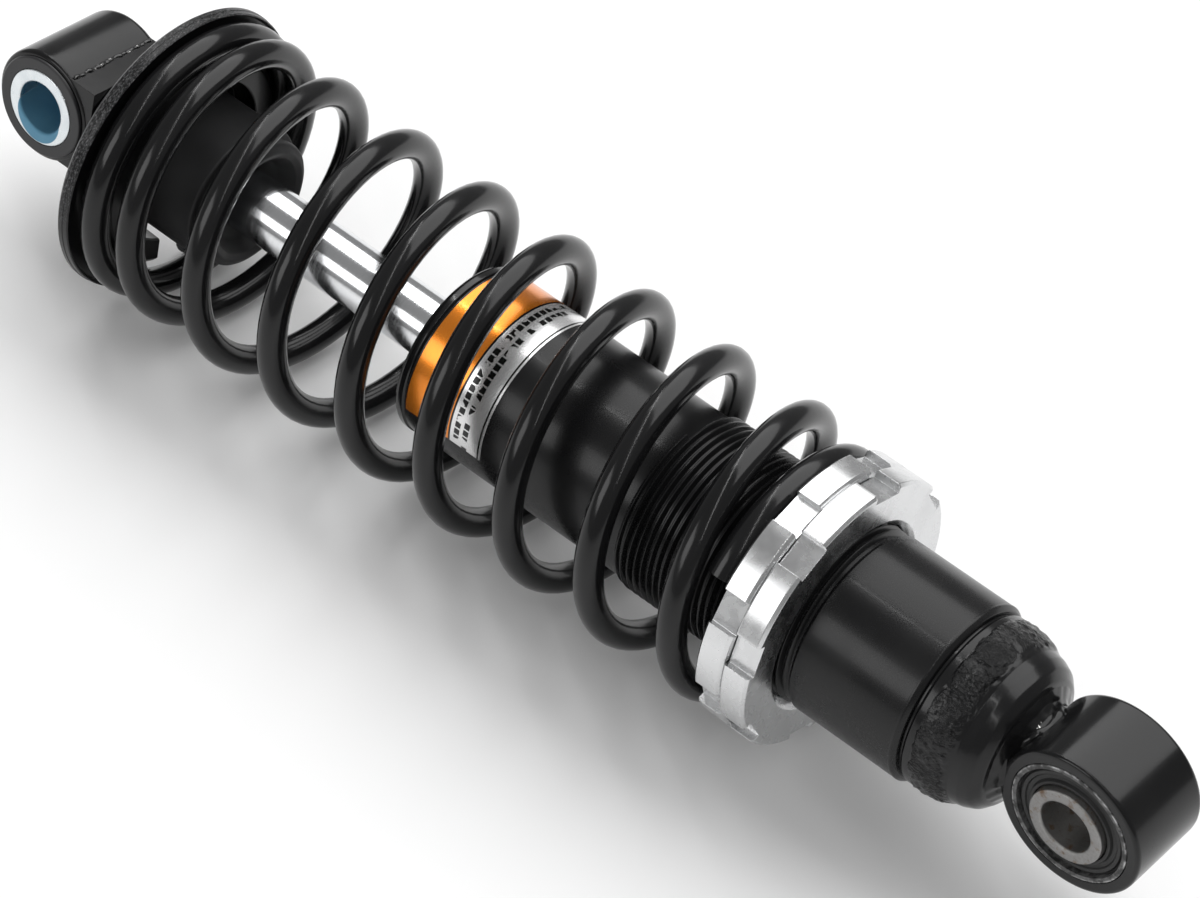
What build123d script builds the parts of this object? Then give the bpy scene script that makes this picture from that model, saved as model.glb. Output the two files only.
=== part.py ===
"""Rear shock: a coil spring over a gas damper, lying along X.

Millimetres. The damper's axis is X, with the rod eye at -X and the body eye at +X.
The origin is the centre of the body eye's bore, whose bolt lies along Y. +Z is up.
"""
import math
import os

from build123d import *

os.makedirs("parts", exist_ok=True)

# ---- overall sizes ----
EYE_TO_EYE = 285.0          # bolt centre to bolt centre, fully extended
ROD_R = 7.0                 # damper rod
BORE_R = 18.0               # damper tube's bore
TUBE_R = 20.0               # tube above the thread
THREAD_R = 21.05            # crest of the adjuster's thread
THREAD_PITCH = 1.75
THREAD_DEPTH = 1.05
LOWER_R = 21.1              # tube below the thread
BOLT_R = 6.1                # both eyes take an M12 bolt
RUN = 0.04                  # running clearance of a rod, pin or sleeve, each side
SLIP = 0.07                 # clearance of a piston in the tube, each side
STAND = 0.15                # space between faces that turn or slide past each other
STROKE = 57.5               # travel until the bump stop touches the tube's cap

# ---- spring ----
WIRE_R = 3.25
COIL_R = 30.25              # wire centre
COIL_PITCH = 22.3
SEAT_RAMP = (-0.10, 2.30)   # turns from the tip over which the pitch opens, rod end
NUT_RAMP = (0.42, 0.96)     # the same from the other tip, at the adjuster
SPRING_TIP_ANGLE = 342.0    # degrees about X, from +Y, at the rod end
NUT_TUCK = 2.8              # how much tighter the last coil is wound, at the adjuster
TUCK_TURNS = (1.05, 0.30)   # turns from that tip over which it tightens

# ---- places along X ----
NUT_T = 6.4                 # thickness of each ring nut
LOCK_FACE = -66.4           # the lock nut's outer face
ADJ_FACE = LOCK_FACE - NUT_T - STAND      # joint between the two nuts
COIL_SEAT = ADJ_FACE - NUT_T              # the adjuster's face that holds the spring
SEAT_FACE = -256.6          # the retainer's face that holds the spring
SEAT_T = 2.4
CAP_FACE = -172.8           # the tube's top face
CAP_T = 2.6
THREAD_END = -64.7
THREAD_START = -112.0
TUBE_END = -36.0            # where the tube meets its domed end
DOME_FACE = -17.8


def turned(*profile):
    """A ring or shaft about X from its half section, points given as (x, radius)."""
    with BuildPart() as piece:
        with BuildSketch(Plane.XY) as section:
            with BuildLine() as outline:
                Polyline(*profile, close=True)
            make_face()
        revolve(axis=Axis.X, revolution_arc=360)
    return piece


def sleeve(x0, x1, inner, outer, edge=0.0):
    """A plain ring about X, with both outer edges chamfered by edge."""
    if edge:
        return turned((x0, inner), (x0, outer - edge), (x0 + edge, outer),
                      (x1 - edge, outer), (x1, outer - edge), (x1, inner))
    return turned((x0, inner), (x0, outer), (x1, outer), (x1, inner))


def cross_sleeve(x, half_width, inner, outer, edge=0.0):
    """A ring about a line along Y through x, with its outer and inner edges chamfered."""
    with BuildPart() as piece:
        with BuildSketch(Plane.XZ.offset(-half_width)) as face:
            with Locations((x, 0)):
                Circle(outer)
                Circle(inner, mode=Mode.SUBTRACT)
        extrude(amount=2 * half_width)
        if edge:
            chamfer(piece.edges().filter_by(GeomType.CIRCLE), edge)
    return piece


def hex_ring(x0, x1, inner, across_flats):
    """A hexagon nut about X with a plain bore."""
    with BuildPart() as piece:
        with BuildSketch(Plane.YZ.offset(x0)) as face:
            RegularPolygon(across_flats / 2, 6, major_radius=False)
            Circle(inner, mode=Mode.SUBTRACT)
        extrude(amount=x1 - x0)
    return piece


# ======================= damper tube and what is fixed to it =======================

CLIP_X = -149.9             # circlip groove's rod side
CLIP_T = 1.3
GUIDE_X0 = -166.2
GUIDE_X1 = CLIP_X
crests = int((THREAD_END - THREAD_START) / THREAD_PITCH)
thread_root = THREAD_R - THREAD_DEPTH
outline_points = [(CAP_FACE + CAP_T, BORE_R), (CAP_FACE + CAP_T, TUBE_R)]
outline_points += [(THREAD_START - 1.0, TUBE_R), (THREAD_START, thread_root)]
for i in range(crests):
    start = THREAD_START + i * THREAD_PITCH
    outline_points.append((start + 0.45 * THREAD_PITCH, THREAD_R))
    outline_points.append((start + 0.60 * THREAD_PITCH, THREAD_R))
    outline_points.append((start + THREAD_PITCH, thread_root))
outline_points += [(THREAD_END + 0.6, thread_root), (THREAD_END + 1.4, LOWER_R)]
outline_points += [(TUBE_END - 0.8, LOWER_R), (TUBE_END, LOWER_R - 0.8), (TUBE_END, BORE_R)]
outline_points += [(CLIP_X + CLIP_T, BORE_R), (CLIP_X + CLIP_T, BORE_R + 0.7)]
outline_points += [(CLIP_X, BORE_R + 0.7), (CLIP_X, BORE_R)]
damper_tube = turned(*outline_points)
damper_tube.part.label = "damper_tube"
export_step(damper_tube.part, "parts/damper_tube.step")

# Top cap: pressed into the tube, with a stepped bore that holds the dust wiper.
WIPER_R = 10.5
cap_r = TUBE_R + 0.25
with BuildPart() as tube_cap:
    with BuildSketch(Plane.XY) as cap_section:
        with BuildLine() as cap_outline:
            Polyline((CAP_FACE, WIPER_R), (CAP_FACE, cap_r), (CAP_FACE + CAP_T, cap_r),
                     (CAP_FACE + CAP_T, BORE_R), (GUIDE_X0, BORE_R), (GUIDE_X0, ROD_R + 0.6),
                     (CAP_FACE + CAP_T - 0.2, ROD_R + 0.6), (CAP_FACE + CAP_T - 0.2, WIPER_R),
                     close=True)
        make_face()
    revolve(axis=Axis.X, revolution_arc=360)
    fillet(tube_cap.edges().filter_by(GeomType.CIRCLE).sort_by(Axis.X)[:2].sort_by(SortBy.RADIUS)[-1],
           1.8)
tube_cap.part.label = "tube_cap"
export_step(tube_cap.part, "parts/tube_cap.step")

dust_wiper = turned((CAP_FACE - 1.2, ROD_R + RUN), (CAP_FACE - 0.6, ROD_R + 0.9),
                    (CAP_FACE + 0.2, WIPER_R - 0.6), (CAP_FACE + 0.2, WIPER_R),
                    (CAP_FACE + CAP_T - 0.2, WIPER_R), (CAP_FACE + CAP_T - 0.2, ROD_R + RUN))
dust_wiper.part.label = "dust_wiper"
export_step(dust_wiper.part, "parts/dust_wiper.step")

# The guide closes the tube under the cap and carries the seal and the bushing.
SEAL_T = 5.5
SEAL_R = 12.5
BUSH_T = 1.2
ORING_R = 0.9
oring_x = (GUIDE_X0 + GUIDE_X1) / 2 + 3.0
seal_end = GUIDE_X0 + SEAL_T + 0.3
bush_end = GUIDE_X1 - 0.8
rod_guide = turned((GUIDE_X0, SEAL_R), (GUIDE_X0, BORE_R),
                   (oring_x - 1.3, BORE_R), (oring_x - 1.3, BORE_R - 2 * ORING_R),
                   (oring_x + 1.3, BORE_R - 2 * ORING_R), (oring_x + 1.3, BORE_R),
                   (GUIDE_X1, BORE_R), (GUIDE_X1, ROD_R + 1.0),
                   (bush_end, ROD_R + 1.0), (bush_end, ROD_R + BUSH_T),
                   (seal_end, ROD_R + BUSH_T), (seal_end, SEAL_R))
rod_guide.part.label = "rod_guide"
export_step(rod_guide.part, "parts/rod_guide.step")

guide_bushing = sleeve(seal_end + 0.1, bush_end, ROD_R + RUN, ROD_R + BUSH_T)
guide_bushing.part.label = "guide_bushing"
export_step(guide_bushing.part, "parts/guide_bushing.step")

seal_x1 = GUIDE_X0 + SEAL_T
oil_seal = turned((GUIDE_X0 + 0.1, ROD_R + 1.6), (GUIDE_X0 + 0.1, SEAL_R), (seal_x1, SEAL_R),
                  (seal_x1, SEAL_R - 2.0), (GUIDE_X0 + 2.2, SEAL_R - 2.0),
                  (GUIDE_X0 + 2.2, ROD_R + 2.2), (seal_x1 - 0.6, ROD_R + 1.2),
                  (seal_x1 - 1.0, ROD_R + RUN), (seal_x1 - 1.8, ROD_R + RUN))
oil_seal.part.label = "oil_seal"
export_step(oil_seal.part, "parts/oil_seal.step")

with BuildPart() as guide_o_ring:
    with BuildSketch(Plane.XY) as guide_o_ring_section:
        with Locations((oring_x, BORE_R - ORING_R)):
            Circle(ORING_R - 0.01)
    revolve(axis=Axis.X, revolution_arc=360)
guide_o_ring.part.label = "guide_o_ring"
export_step(guide_o_ring.part, "parts/guide_o_ring.step")

# Circlip: a C with its gap at the bottom.
with BuildPart() as guide_circlip:
    with BuildSketch(Plane.YZ.offset(CLIP_X + 0.02)) as clip_face:
        Circle(BORE_R + 0.6)
        Circle(BORE_R - 1.3, mode=Mode.SUBTRACT)
        with Locations((0, -BORE_R)):
            Rectangle(7, 6, mode=Mode.SUBTRACT)
    extrude(amount=CLIP_T - 0.04)
guide_circlip.part.label = "guide_circlip"
export_step(guide_circlip.part, "parts/guide_circlip.step")

LABEL_X0 = CAP_FACE + CAP_T + 0.3
LABEL_X1 = -148.6
LABEL_TURN = 222.0          # how far the label goes round the tube, degrees
LABEL_END = 184.0           # where it ends, degrees about X from +Y
with BuildPart() as label_wrap:
    with BuildSketch(Plane.XY) as label_section:
        with Locations(((LABEL_X0 + LABEL_X1) / 2, TUBE_R + 0.06)):
            Rectangle(LABEL_X1 - LABEL_X0, 0.12)
    revolve(axis=Axis.X, revolution_arc=LABEL_TURN)
label_wrap.part = Rotation(LABEL_END - LABEL_TURN, 0, 0) * label_wrap.part
label_wrap.part.label = "label_wrap"
export_step(label_wrap.part, "parts/label_wrap.step")

# Domed end: a thick cup welded to the tube, with a spigot that centres it in the bore.
GROOVE_W = 1.4
band_x0 = TUBE_END + GROOVE_W
weld_x0 = TUBE_END + 3.2
weld_x1 = TUBE_END + 7.6
dome_r = BORE_R - 0.6
with BuildPart() as tube_end_cap:
    with BuildSketch(Plane.XY) as dome_section:
        with BuildLine() as dome_outline:
            Polyline((TUBE_END - 4, BORE_R - 3.0), (TUBE_END - 4, BORE_R), (TUBE_END, BORE_R),
                     (TUBE_END, LOWER_R - 1.4), (band_x0 - 0.4, LOWER_R - 1.4), (band_x0, LOWER_R - 1.0),
                     (weld_x0, LOWER_R - 1.0), (weld_x0 + 0.5, LOWER_R - 0.8), (weld_x1, LOWER_R - 1.0),
                     (weld_x1 + 1.6, LOWER_R - 1.5), (DOME_FACE - 6.4, LOWER_R - 2.6),
                     (DOME_FACE - 3.4, dome_r), (DOME_FACE - 1.2, dome_r - 1.5),
                     (DOME_FACE, dome_r - 4.0), (DOME_FACE, 0), (DOME_FACE - 7.0, 0),
                     (DOME_FACE - 9.0, BORE_R - 7.0), (DOME_FACE - 14.0, BORE_R - 3.0), close=True)
        make_face()
    revolve(axis=Axis.X, revolution_arc=360)
tube_end_cap.part.label = "tube_end_cap"
export_step(tube_end_cap.part, "parts/tube_end_cap.step")

# Body eye: a wide ring with a short neck welded to the dome.
EYE_R = 17.25
EYE_HALF = 10.3
BUSH_OUT_R = 14.3
OUTER_WALL = 1.2
NECK_R = 10.5
with BuildPart() as body_eye:
    with BuildSketch(Plane.XZ.offset(-EYE_HALF)) as eye_disc:
        Circle(EYE_R)
    extrude(amount=2 * EYE_HALF)
    chamfer(body_eye.edges().filter_by(GeomType.CIRCLE), 0.9)
    with BuildSketch(Plane.YZ.offset(DOME_FACE)) as neck_face:
        Circle(NECK_R)
    extrude(amount=-DOME_FACE - EYE_R * 0.6)
    with BuildSketch(Plane.XZ.offset(-EYE_HALF - 1)) as eye_bore:
        Circle(BUSH_OUT_R)
    extrude(amount=2 * EYE_HALF + 2, mode=Mode.SUBTRACT)
body_eye.part.label = "body_eye"
export_step(body_eye.part, "parts/body_eye.step")

EYE_SLEEVE_R = 9.0
eye_bush_shell = cross_sleeve(0, EYE_HALF, BUSH_OUT_R - OUTER_WALL, BUSH_OUT_R)
eye_bush_shell.part.label = "eye_bush_shell"
export_step(eye_bush_shell.part, "parts/eye_bush_shell.step")

eye_rubber = cross_sleeve(0, EYE_HALF - 0.5, EYE_SLEEVE_R + RUN, BUSH_OUT_R - OUTER_WALL)
eye_rubber.part.label = "eye_rubber"
export_step(eye_rubber.part, "parts/eye_rubber.step")

BODY_SLEEVE_HALF = 11.8
body_eye_sleeve = cross_sleeve(0, BODY_SLEEVE_HALF, BOLT_R, EYE_SLEEVE_R, 0.4)
body_eye_sleeve.part.label = "body_eye_sleeve"
export_step(body_eye_sleeve.part, "parts/body_eye_sleeve.step")


# ======================= spring, adjuster and lock nut =======================

seat_plane = SEAT_FACE + WIRE_R + 0.02
nut_plane = COIL_SEAT - WIRE_R - 0.02
seat_offset = (SEAT_RAMP[0] + SEAT_RAMP[1]) / 2
nut_offset = (NUT_RAMP[0] + NUT_RAMP[1]) / 2
turns = (nut_plane - seat_plane) / COIL_PITCH + seat_offset + nut_offset


def opened(t, ramp):
    """How far along X the wire has gone t turns from a tip whose pitch opens over ramp."""
    rate = COIL_PITCH / (ramp[1] - ramp[0])
    first = max(ramp[0], 0.0)
    lead = rate * (first - ramp[0]) ** 2 / 2
    if t <= first:
        return 0.0
    if t >= ramp[1]:
        return rate * (ramp[1] - ramp[0]) ** 2 / 2 - lead + COIL_PITCH * (t - ramp[1])
    return rate * (t - ramp[0]) ** 2 / 2 - lead


def wire_point(t):
    """Centre of the wire t turns from the rod end's tip."""
    half = turns / 2
    lead = opened(half, SEAT_RAMP)
    tail = opened(turns - half, NUT_RAMP)
    slack = (nut_plane - seat_plane) - lead - tail
    if t <= half:
        x = seat_plane + opened(t, SEAT_RAMP) + slack * t / turns
    else:
        x = nut_plane - opened(turns - t, NUT_RAMP) - slack * (turns - t) / turns
    angle = math.radians(SPRING_TIP_ANGLE) + 2 * math.pi * t
    share = (TUCK_TURNS[0] - (turns - t)) / (TUCK_TURNS[0] - TUCK_TURNS[1])
    share = min(max(share, 0.0), 1.0)
    radius = COIL_R - NUT_TUCK * share * share * (3 - 2 * share)
    return (x, radius * math.cos(angle), radius * math.sin(angle))


steps = int(turns * 12)
with BuildPart() as main_spring:
    with BuildLine() as wire_line:
        Spline(*[wire_point(turns * i / steps) for i in range(steps + 1)])
    with BuildSketch(Plane(origin=wire_line.line @ 0, z_dir=wire_line.line % 0)) as wire_face:
        Circle(WIRE_R)
    sweep(path=wire_line.line, is_frenet=True)
main_spring.part.label = "main_spring"
export_step(main_spring.part, "parts/main_spring.step")

NUT_R = COIL_R + 1.75        # the nuts carry the wire's whole seat
NOTCHES = 8
NOTCH_W = 8.0
NOTCH_DEPTH = 2.2


def ring_nut(x0, first_angle, collar):
    """A castellated ring nut whose bore clears the thread's crests."""
    with BuildPart() as nut:
        with BuildSketch(Plane.YZ.offset(x0)) as nut_face:
            Circle(NUT_R)
            Circle(THREAD_R + 0.1, mode=Mode.SUBTRACT)
            with PolarLocations(NUT_R, NOTCHES, start_angle=first_angle):
                Rectangle(2 * NOTCH_DEPTH, NOTCH_W, mode=Mode.SUBTRACT)
        extrude(amount=NUT_T)
        inner = nut.edges().filter_by(GeomType.CIRCLE).sort_by(SortBy.RADIUS)[:2]
        chamfer(inner, collar)
    return nut


adjuster_nut = ring_nut(COIL_SEAT, 15.0, 1.0)
adjuster_nut.part.label = "adjuster_nut"
export_step(adjuster_nut.part, "parts/adjuster_nut.step")

lock_nut = ring_nut(ADJ_FACE + STAND, 27.0, 1.6)
lock_nut.part.label = "lock_nut"
export_step(lock_nut.part, "parts/lock_nut.step")


# ======================= spring retainer, on its own slide =======================

LIP_T = 0.8                 # raised rim that keeps the last coil centred
LIP_H = 1.0
LIP_GAP = 0.4               # between the coil and that rim
SEAT_R = COIL_R + WIRE_R + LIP_GAP + LIP_T
HUB_R = COIL_R - WIRE_R - 0.6
HUB_H = 5.0
SLOT_W = 2 * ROD_R + 1.0
SEAT_TURN = 262.0           # where the retainer's slot opens, degrees about X from +Y
with BuildPart() as spring_retainer:
    with BuildSketch(Plane.YZ.offset(SEAT_FACE - SEAT_T)) as seat_face:
        Circle(SEAT_R)
    extrude(amount=SEAT_T)
    chamfer(spring_retainer.edges().filter_by(GeomType.CIRCLE).sort_by(Axis.X)[0], 0.7)
    with BuildSketch(Plane.YZ.offset(SEAT_FACE - 0.5)) as lip_face:
        Circle(SEAT_R)
        Circle(SEAT_R - LIP_T, mode=Mode.SUBTRACT)
    extrude(amount=LIP_H + 0.5)
    with BuildSketch(Plane.YZ.offset(SEAT_FACE)) as hub_face:
        Circle(HUB_R)
    extrude(amount=HUB_H)
    chamfer(spring_retainer.edges().filter_by(GeomType.CIRCLE).sort_by(Axis.X)[-1], 1.6)
    with BuildSketch(Plane.YZ.offset(SEAT_FACE - 1.0)) as cup_face:
        Circle(HUB_R - 6.5)
    extrude(amount=HUB_H + 2, mode=Mode.SUBTRACT)
    with BuildSketch(Plane.YZ.offset(SEAT_FACE - SEAT_T - 1)) as slot_face:
        Circle(ROD_R + 0.5)
        with PolarLocations(SEAT_R / 2 + 2, 1, start_angle=SEAT_TURN):
            Rectangle(SEAT_R + 4, SLOT_W)
    extrude(amount=SEAT_T + HUB_H + 2, mode=Mode.SUBTRACT)
spring_retainer.part.label = "spring_retainer"
export_step(spring_retainer.part, "parts/spring_retainer.step")


# ======================= rod and what is fixed to it =======================

ROD_TURN = -10.0            # the rod eye is turned this far about X from the body eye, degrees
ROD_EYE_R = 13.2
ROD_EYE_HALF = 13.0
ROD_EYE_BORE = 10.7
BLOCK_HALF = 11.5
FLANGE_T = 0.8
NUT_FLATS = 27.0
BLOCK_END = -EYE_TO_EYE + ROD_EYE_R - 0.6
turn_eye = Rotation(ROD_TURN, 0, 0)

with BuildPart() as rod_eye:
    with BuildSketch(Plane.XZ.offset(-ROD_EYE_HALF)) as rod_eye_face:
        with Locations((-EYE_TO_EYE, 0)):
            Circle(ROD_EYE_R)
    extrude(amount=2 * ROD_EYE_HALF)
    chamfer(rod_eye.edges().filter_by(GeomType.CIRCLE), 0.8)
    with Locations(((-EYE_TO_EYE + BLOCK_END + 1.2) / 2, 0, 0)):
        Box(BLOCK_END + EYE_TO_EYE + 1.2, 2 * ROD_EYE_HALF - 0.6, 2 * BLOCK_HALF)
    with BuildSketch(Plane.XZ.offset(-ROD_EYE_HALF - 1)) as rod_eye_bore:
        with Locations((-EYE_TO_EYE, 0)):
            Circle(ROD_EYE_BORE)
    extrude(amount=2 * ROD_EYE_HALF + 2, mode=Mode.SUBTRACT)
rod_eye.part = turn_eye * rod_eye.part
rod_eye.part.label = "rod_eye"
export_step(rod_eye.part, "parts/rod_eye.step")

ROD_SLEEVE_R = 9.1
ROD_SLEEVE_HALF = ROD_EYE_HALF + FLANGE_T + 0.1
with BuildPart() as rod_eye_bushes:
    for side in (-1, 1):
        with BuildSketch(Plane.XZ.offset(side * (ROD_EYE_HALF + FLANGE_T))) as flange_face:
            with Locations((-EYE_TO_EYE, 0)):
                Circle(ROD_EYE_R - 0.9)
                Circle(ROD_SLEEVE_R + RUN, mode=Mode.SUBTRACT)
        extrude(amount=-side * FLANGE_T)
        with BuildSketch(Plane.XZ.offset(side * ROD_EYE_HALF)) as barrel_face:
            with Locations((-EYE_TO_EYE, 0)):
                Circle(ROD_EYE_BORE)
                Circle(ROD_SLEEVE_R + RUN, mode=Mode.SUBTRACT)
        extrude(amount=-side * (ROD_EYE_HALF - 0.4))
rod_eye_bushes.part = turn_eye * rod_eye_bushes.part
rod_eye_bushes.part.label = "rod_eye_bushes"
export_step(rod_eye_bushes.part, "parts/rod_eye_bushes.step")

rod_eye_sleeve = cross_sleeve(-EYE_TO_EYE, ROD_SLEEVE_HALF, BOLT_R, ROD_SLEEVE_R, 0.4)
rod_eye_sleeve.part = turn_eye * rod_eye_sleeve.part
rod_eye_sleeve.part.label = "rod_eye_sleeve"
export_step(rod_eye_sleeve.part, "parts/rod_eye_sleeve.step")

nut_x0 = BLOCK_END + 1.2
nut_x1 = SEAT_FACE - SEAT_T - STAND
rod_end_nut = hex_ring(nut_x0, nut_x1, ROD_R, NUT_FLATS)
rod_end_nut.part.label = "rod_end_nut"
export_step(rod_end_nut.part, "parts/rod_end_nut.step")

# Piston stack, from the rod's shoulder towards the body eye.
TOPOUT_T = 5.0
SPIGOT_R = 5.0
shoulder = GUIDE_X1 + CLIP_T + 0.8 + TOPOUT_T
washer_t = 1.4
shim_t = 0.3
shim_gap = 0.02
piston_t = 10.0
pack_t = 3 * (shim_t + shim_gap)
piston_x0 = shoulder + washer_t + pack_t + shim_gap
piston_x1 = piston_x0 + piston_t
back_x0 = piston_x1 + pack_t + shim_gap
nut_h = 6.0
rod_end = back_x0 + washer_t + nut_h + 1.2

piston_rod = turned((nut_x0, 0), (nut_x0, ROD_R), (shoulder, ROD_R), (shoulder, SPIGOT_R),
                    (rod_end - 0.8, SPIGOT_R), (rod_end, SPIGOT_R - 0.8), (rod_end, 0))
piston_rod.part.label = "piston_rod"
export_step(piston_rod.part, "parts/piston_rod.step")

# Bump stop: a thick cylinder against the retainer, then a softer bell-mouthed lip.
BUMP_R = 16.7
BUMP_X0 = SEAT_FACE - 0.85
BUMP_STEP = -236.6
BUMP_X1 = CAP_FACE - STROKE - 1.0
with BuildPart() as bump_stop:
    with BuildSketch(Plane.XY) as bump_section:
        with BuildLine() as bump_outline:
            Polyline((BUMP_X0, ROD_R), (BUMP_X0, BUMP_R), (BUMP_STEP, BUMP_R), (BUMP_STEP, BUMP_R - 2.0),
                     (BUMP_STEP + 1.0, BUMP_R - 2.4), (BUMP_X1 - 3.0, BUMP_R - 1.0),
                     (BUMP_X1 - 0.8, BUMP_R - 1.4), (BUMP_X1, BUMP_R - 3.0), (BUMP_X1 - 0.6, BUMP_R - 4.4),
                     (BUMP_STEP + 1.0, ROD_R + 2.6), (BUMP_STEP - 1.0, ROD_R), close=True)
        make_face()
    revolve(axis=Axis.X, revolution_arc=360)
bump_stop.part.label = "bump_stop"
export_step(bump_stop.part, "parts/bump_stop.step")

topout_bumper = sleeve(shoulder - TOPOUT_T, shoulder, ROD_R, 11.5, 0.8)
topout_bumper.part.label = "topout_bumper"
export_step(topout_bumper.part, "parts/topout_bumper.step")

backing_washer = sleeve(shoulder, shoulder + washer_t, SPIGOT_R, 10.0, 0.2)
backing_washer.part.label = "backing_washer"
export_step(backing_washer.part, "parts/backing_washer.step")


def shim_stack(x0, first_r, step_r):
    """Three thin discs side by side, each a step smaller or larger than the last."""
    with BuildPart() as stack:
        for i in range(3):
            with BuildSketch(Plane.YZ.offset(x0 + i * (shim_t + shim_gap))) as shim_face:
                Circle(first_r + i * step_r)
                Circle(SPIGOT_R, mode=Mode.SUBTRACT)
            extrude(amount=shim_t)
    return stack


compression_shims = shim_stack(shoulder + washer_t + shim_gap, 11.0, 1.5)
compression_shims.part.label = "compression_shims"
export_step(compression_shims.part, "parts/compression_shims.step")

PISTON_R = BORE_R - 0.35
BAND_W = 4.5
BAND_T = 1.5
band_mid = (piston_x0 + piston_x1) / 2
with BuildPart() as piston:
    with BuildSketch(Plane.XY) as piston_section:
        with BuildLine() as piston_outline:
            Polyline((piston_x0, SPIGOT_R), (piston_x0, PISTON_R),
                     (band_mid - BAND_W / 2, PISTON_R), (band_mid - BAND_W / 2, BORE_R - BAND_T - SLIP),
                     (band_mid + BAND_W / 2, BORE_R - BAND_T - SLIP), (band_mid + BAND_W / 2, PISTON_R),
                     (piston_x1, PISTON_R), (piston_x1, SPIGOT_R), close=True)
        make_face()
    revolve(axis=Axis.X, revolution_arc=360)
    with BuildSketch(Plane.YZ.offset(piston_x0 - 1)) as port_face:
        with PolarLocations(11.2, 8):
            Circle(1.7)
    extrude(amount=piston_t + 2, mode=Mode.SUBTRACT)
piston.part.label = "piston"
export_step(piston.part, "parts/piston.step")

piston_band = sleeve(band_mid - BAND_W / 2 + 0.02, band_mid + BAND_W / 2 - 0.02,
                     BORE_R - BAND_T - SLIP, BORE_R - SLIP)
piston_band.part.label = "piston_band"
export_step(piston_band.part, "parts/piston_band.step")

rebound_shims = shim_stack(piston_x1 + shim_gap, 14.0, -1.5)
rebound_shims.part.label = "rebound_shims"
export_step(rebound_shims.part, "parts/rebound_shims.step")

clamp_washer = sleeve(back_x0, back_x0 + washer_t, SPIGOT_R, 9.0, 0.2)
clamp_washer.part.label = "clamp_washer"
export_step(clamp_washer.part, "parts/clamp_washer.step")

piston_nut = hex_ring(back_x0 + washer_t, back_x0 + washer_t + nut_h, SPIGOT_R, 15.0)
piston_nut.part.label = "piston_nut"
export_step(piston_nut.part, "parts/piston_nut.step")


# ======================= floating piston =======================

FLOAT_X0 = -62.0
FLOAT_T = 12.0
float_mid = FLOAT_X0 + FLOAT_T / 2
float_r = BORE_R - SLIP
groove_r = float_r - 2 * ORING_R
floating_piston = turned((FLOAT_X0 + 5.0, 0), (FLOAT_X0 + 5.0, float_r - 5.0), (FLOAT_X0, float_r - 3.5),
                         (FLOAT_X0, float_r), (float_mid - 1.3, float_r), (float_mid - 1.3, groove_r),
                         (float_mid + 1.3, groove_r), (float_mid + 1.3, float_r),
                         (FLOAT_X0 + FLOAT_T, float_r), (FLOAT_X0 + FLOAT_T, 0))
floating_piston.part.label = "floating_piston"
export_step(floating_piston.part, "parts/floating_piston.step")

with BuildPart() as floating_piston_o_ring:
    with BuildSketch(Plane.XY) as float_ring_section:
        with Locations((float_mid, float_r - ORING_R)):
            Circle(ORING_R - 0.01)
    revolve(axis=Axis.X, revolution_arc=360)
floating_piston_o_ring.part.label = "floating_piston_o_ring"
export_step(floating_piston_o_ring.part, "parts/floating_piston_o_ring.step")
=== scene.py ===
import math

import bpy
from mathutils import Matrix, Vector, noise


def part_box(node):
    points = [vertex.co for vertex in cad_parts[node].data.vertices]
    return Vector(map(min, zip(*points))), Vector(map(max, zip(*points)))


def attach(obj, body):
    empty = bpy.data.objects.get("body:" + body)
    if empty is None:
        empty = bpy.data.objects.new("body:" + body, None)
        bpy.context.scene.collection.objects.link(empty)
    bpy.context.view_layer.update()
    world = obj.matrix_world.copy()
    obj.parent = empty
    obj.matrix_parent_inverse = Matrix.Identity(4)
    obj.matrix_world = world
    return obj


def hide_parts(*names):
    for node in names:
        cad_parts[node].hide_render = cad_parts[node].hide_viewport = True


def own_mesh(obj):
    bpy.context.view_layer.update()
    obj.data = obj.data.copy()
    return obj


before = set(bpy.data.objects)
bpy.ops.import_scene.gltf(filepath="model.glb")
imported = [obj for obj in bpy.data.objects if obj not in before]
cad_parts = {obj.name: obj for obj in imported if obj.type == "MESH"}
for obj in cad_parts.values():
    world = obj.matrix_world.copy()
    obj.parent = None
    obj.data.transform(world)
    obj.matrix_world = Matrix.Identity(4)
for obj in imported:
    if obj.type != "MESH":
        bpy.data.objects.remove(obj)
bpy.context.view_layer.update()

bl_info = {
    "name": "Rear Shock",
    "version": (1, 0, 0),
    "blender": (4, 5, 0),
    "location": "View3D > Sidebar > Shock",
    "description": "Builds the coil spring, ring nuts, tube, rod and eyes of a rear shock",
    "category": "Add Mesh",
}

MM = 0.001
BOLT_R = 6.1            # bore of both eyes' sleeves
ROD_EYE_X = -285.0      # centre of the rod eye
ROD_EYE_HALF = 13.0     # half its width
ROD_EYE_BORE = 10.7
ROD_SLEEVE_R = 9.1
SLOT_HALF = 7.5         # half the width of the retainer's slot
SLOT_TURN = 262         # where it points, about X from +Y
SEAT_RAMP = (-0.10, 2.30)   # turns from the rod end's tip over which the pitch opens
NUT_RAMP = (0.42, 0.96)     # the same from the other tip
NUT_TUCK = 2.8          # how much tighter the last coil is wound
TUCK_TURNS = (1.05, 0.30)   # turns from that tip over which it tightens
FLOOR_Z = -0.036


# ---------------------------------------------------------------- places taken from the frame

def span(node, axis=0):
    """Lowest and highest place of a node along an axis, in millimetres."""
    low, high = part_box(node)
    return low[axis] / MM, high[axis] / MM


def outer_radius(node):
    """Half the height of a node that is round about X, in millimetres."""
    low, high = span(node, 2)
    return (high - low) / 2


# ---------------------------------------------------------------- tools of the bench

def start_clean():
    """Object mode, with nothing selected."""
    if bpy.context.mode != "OBJECT":
        bpy.ops.object.mode_set(mode="OBJECT")
    bpy.ops.object.select_all(action="DESELECT")


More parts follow.
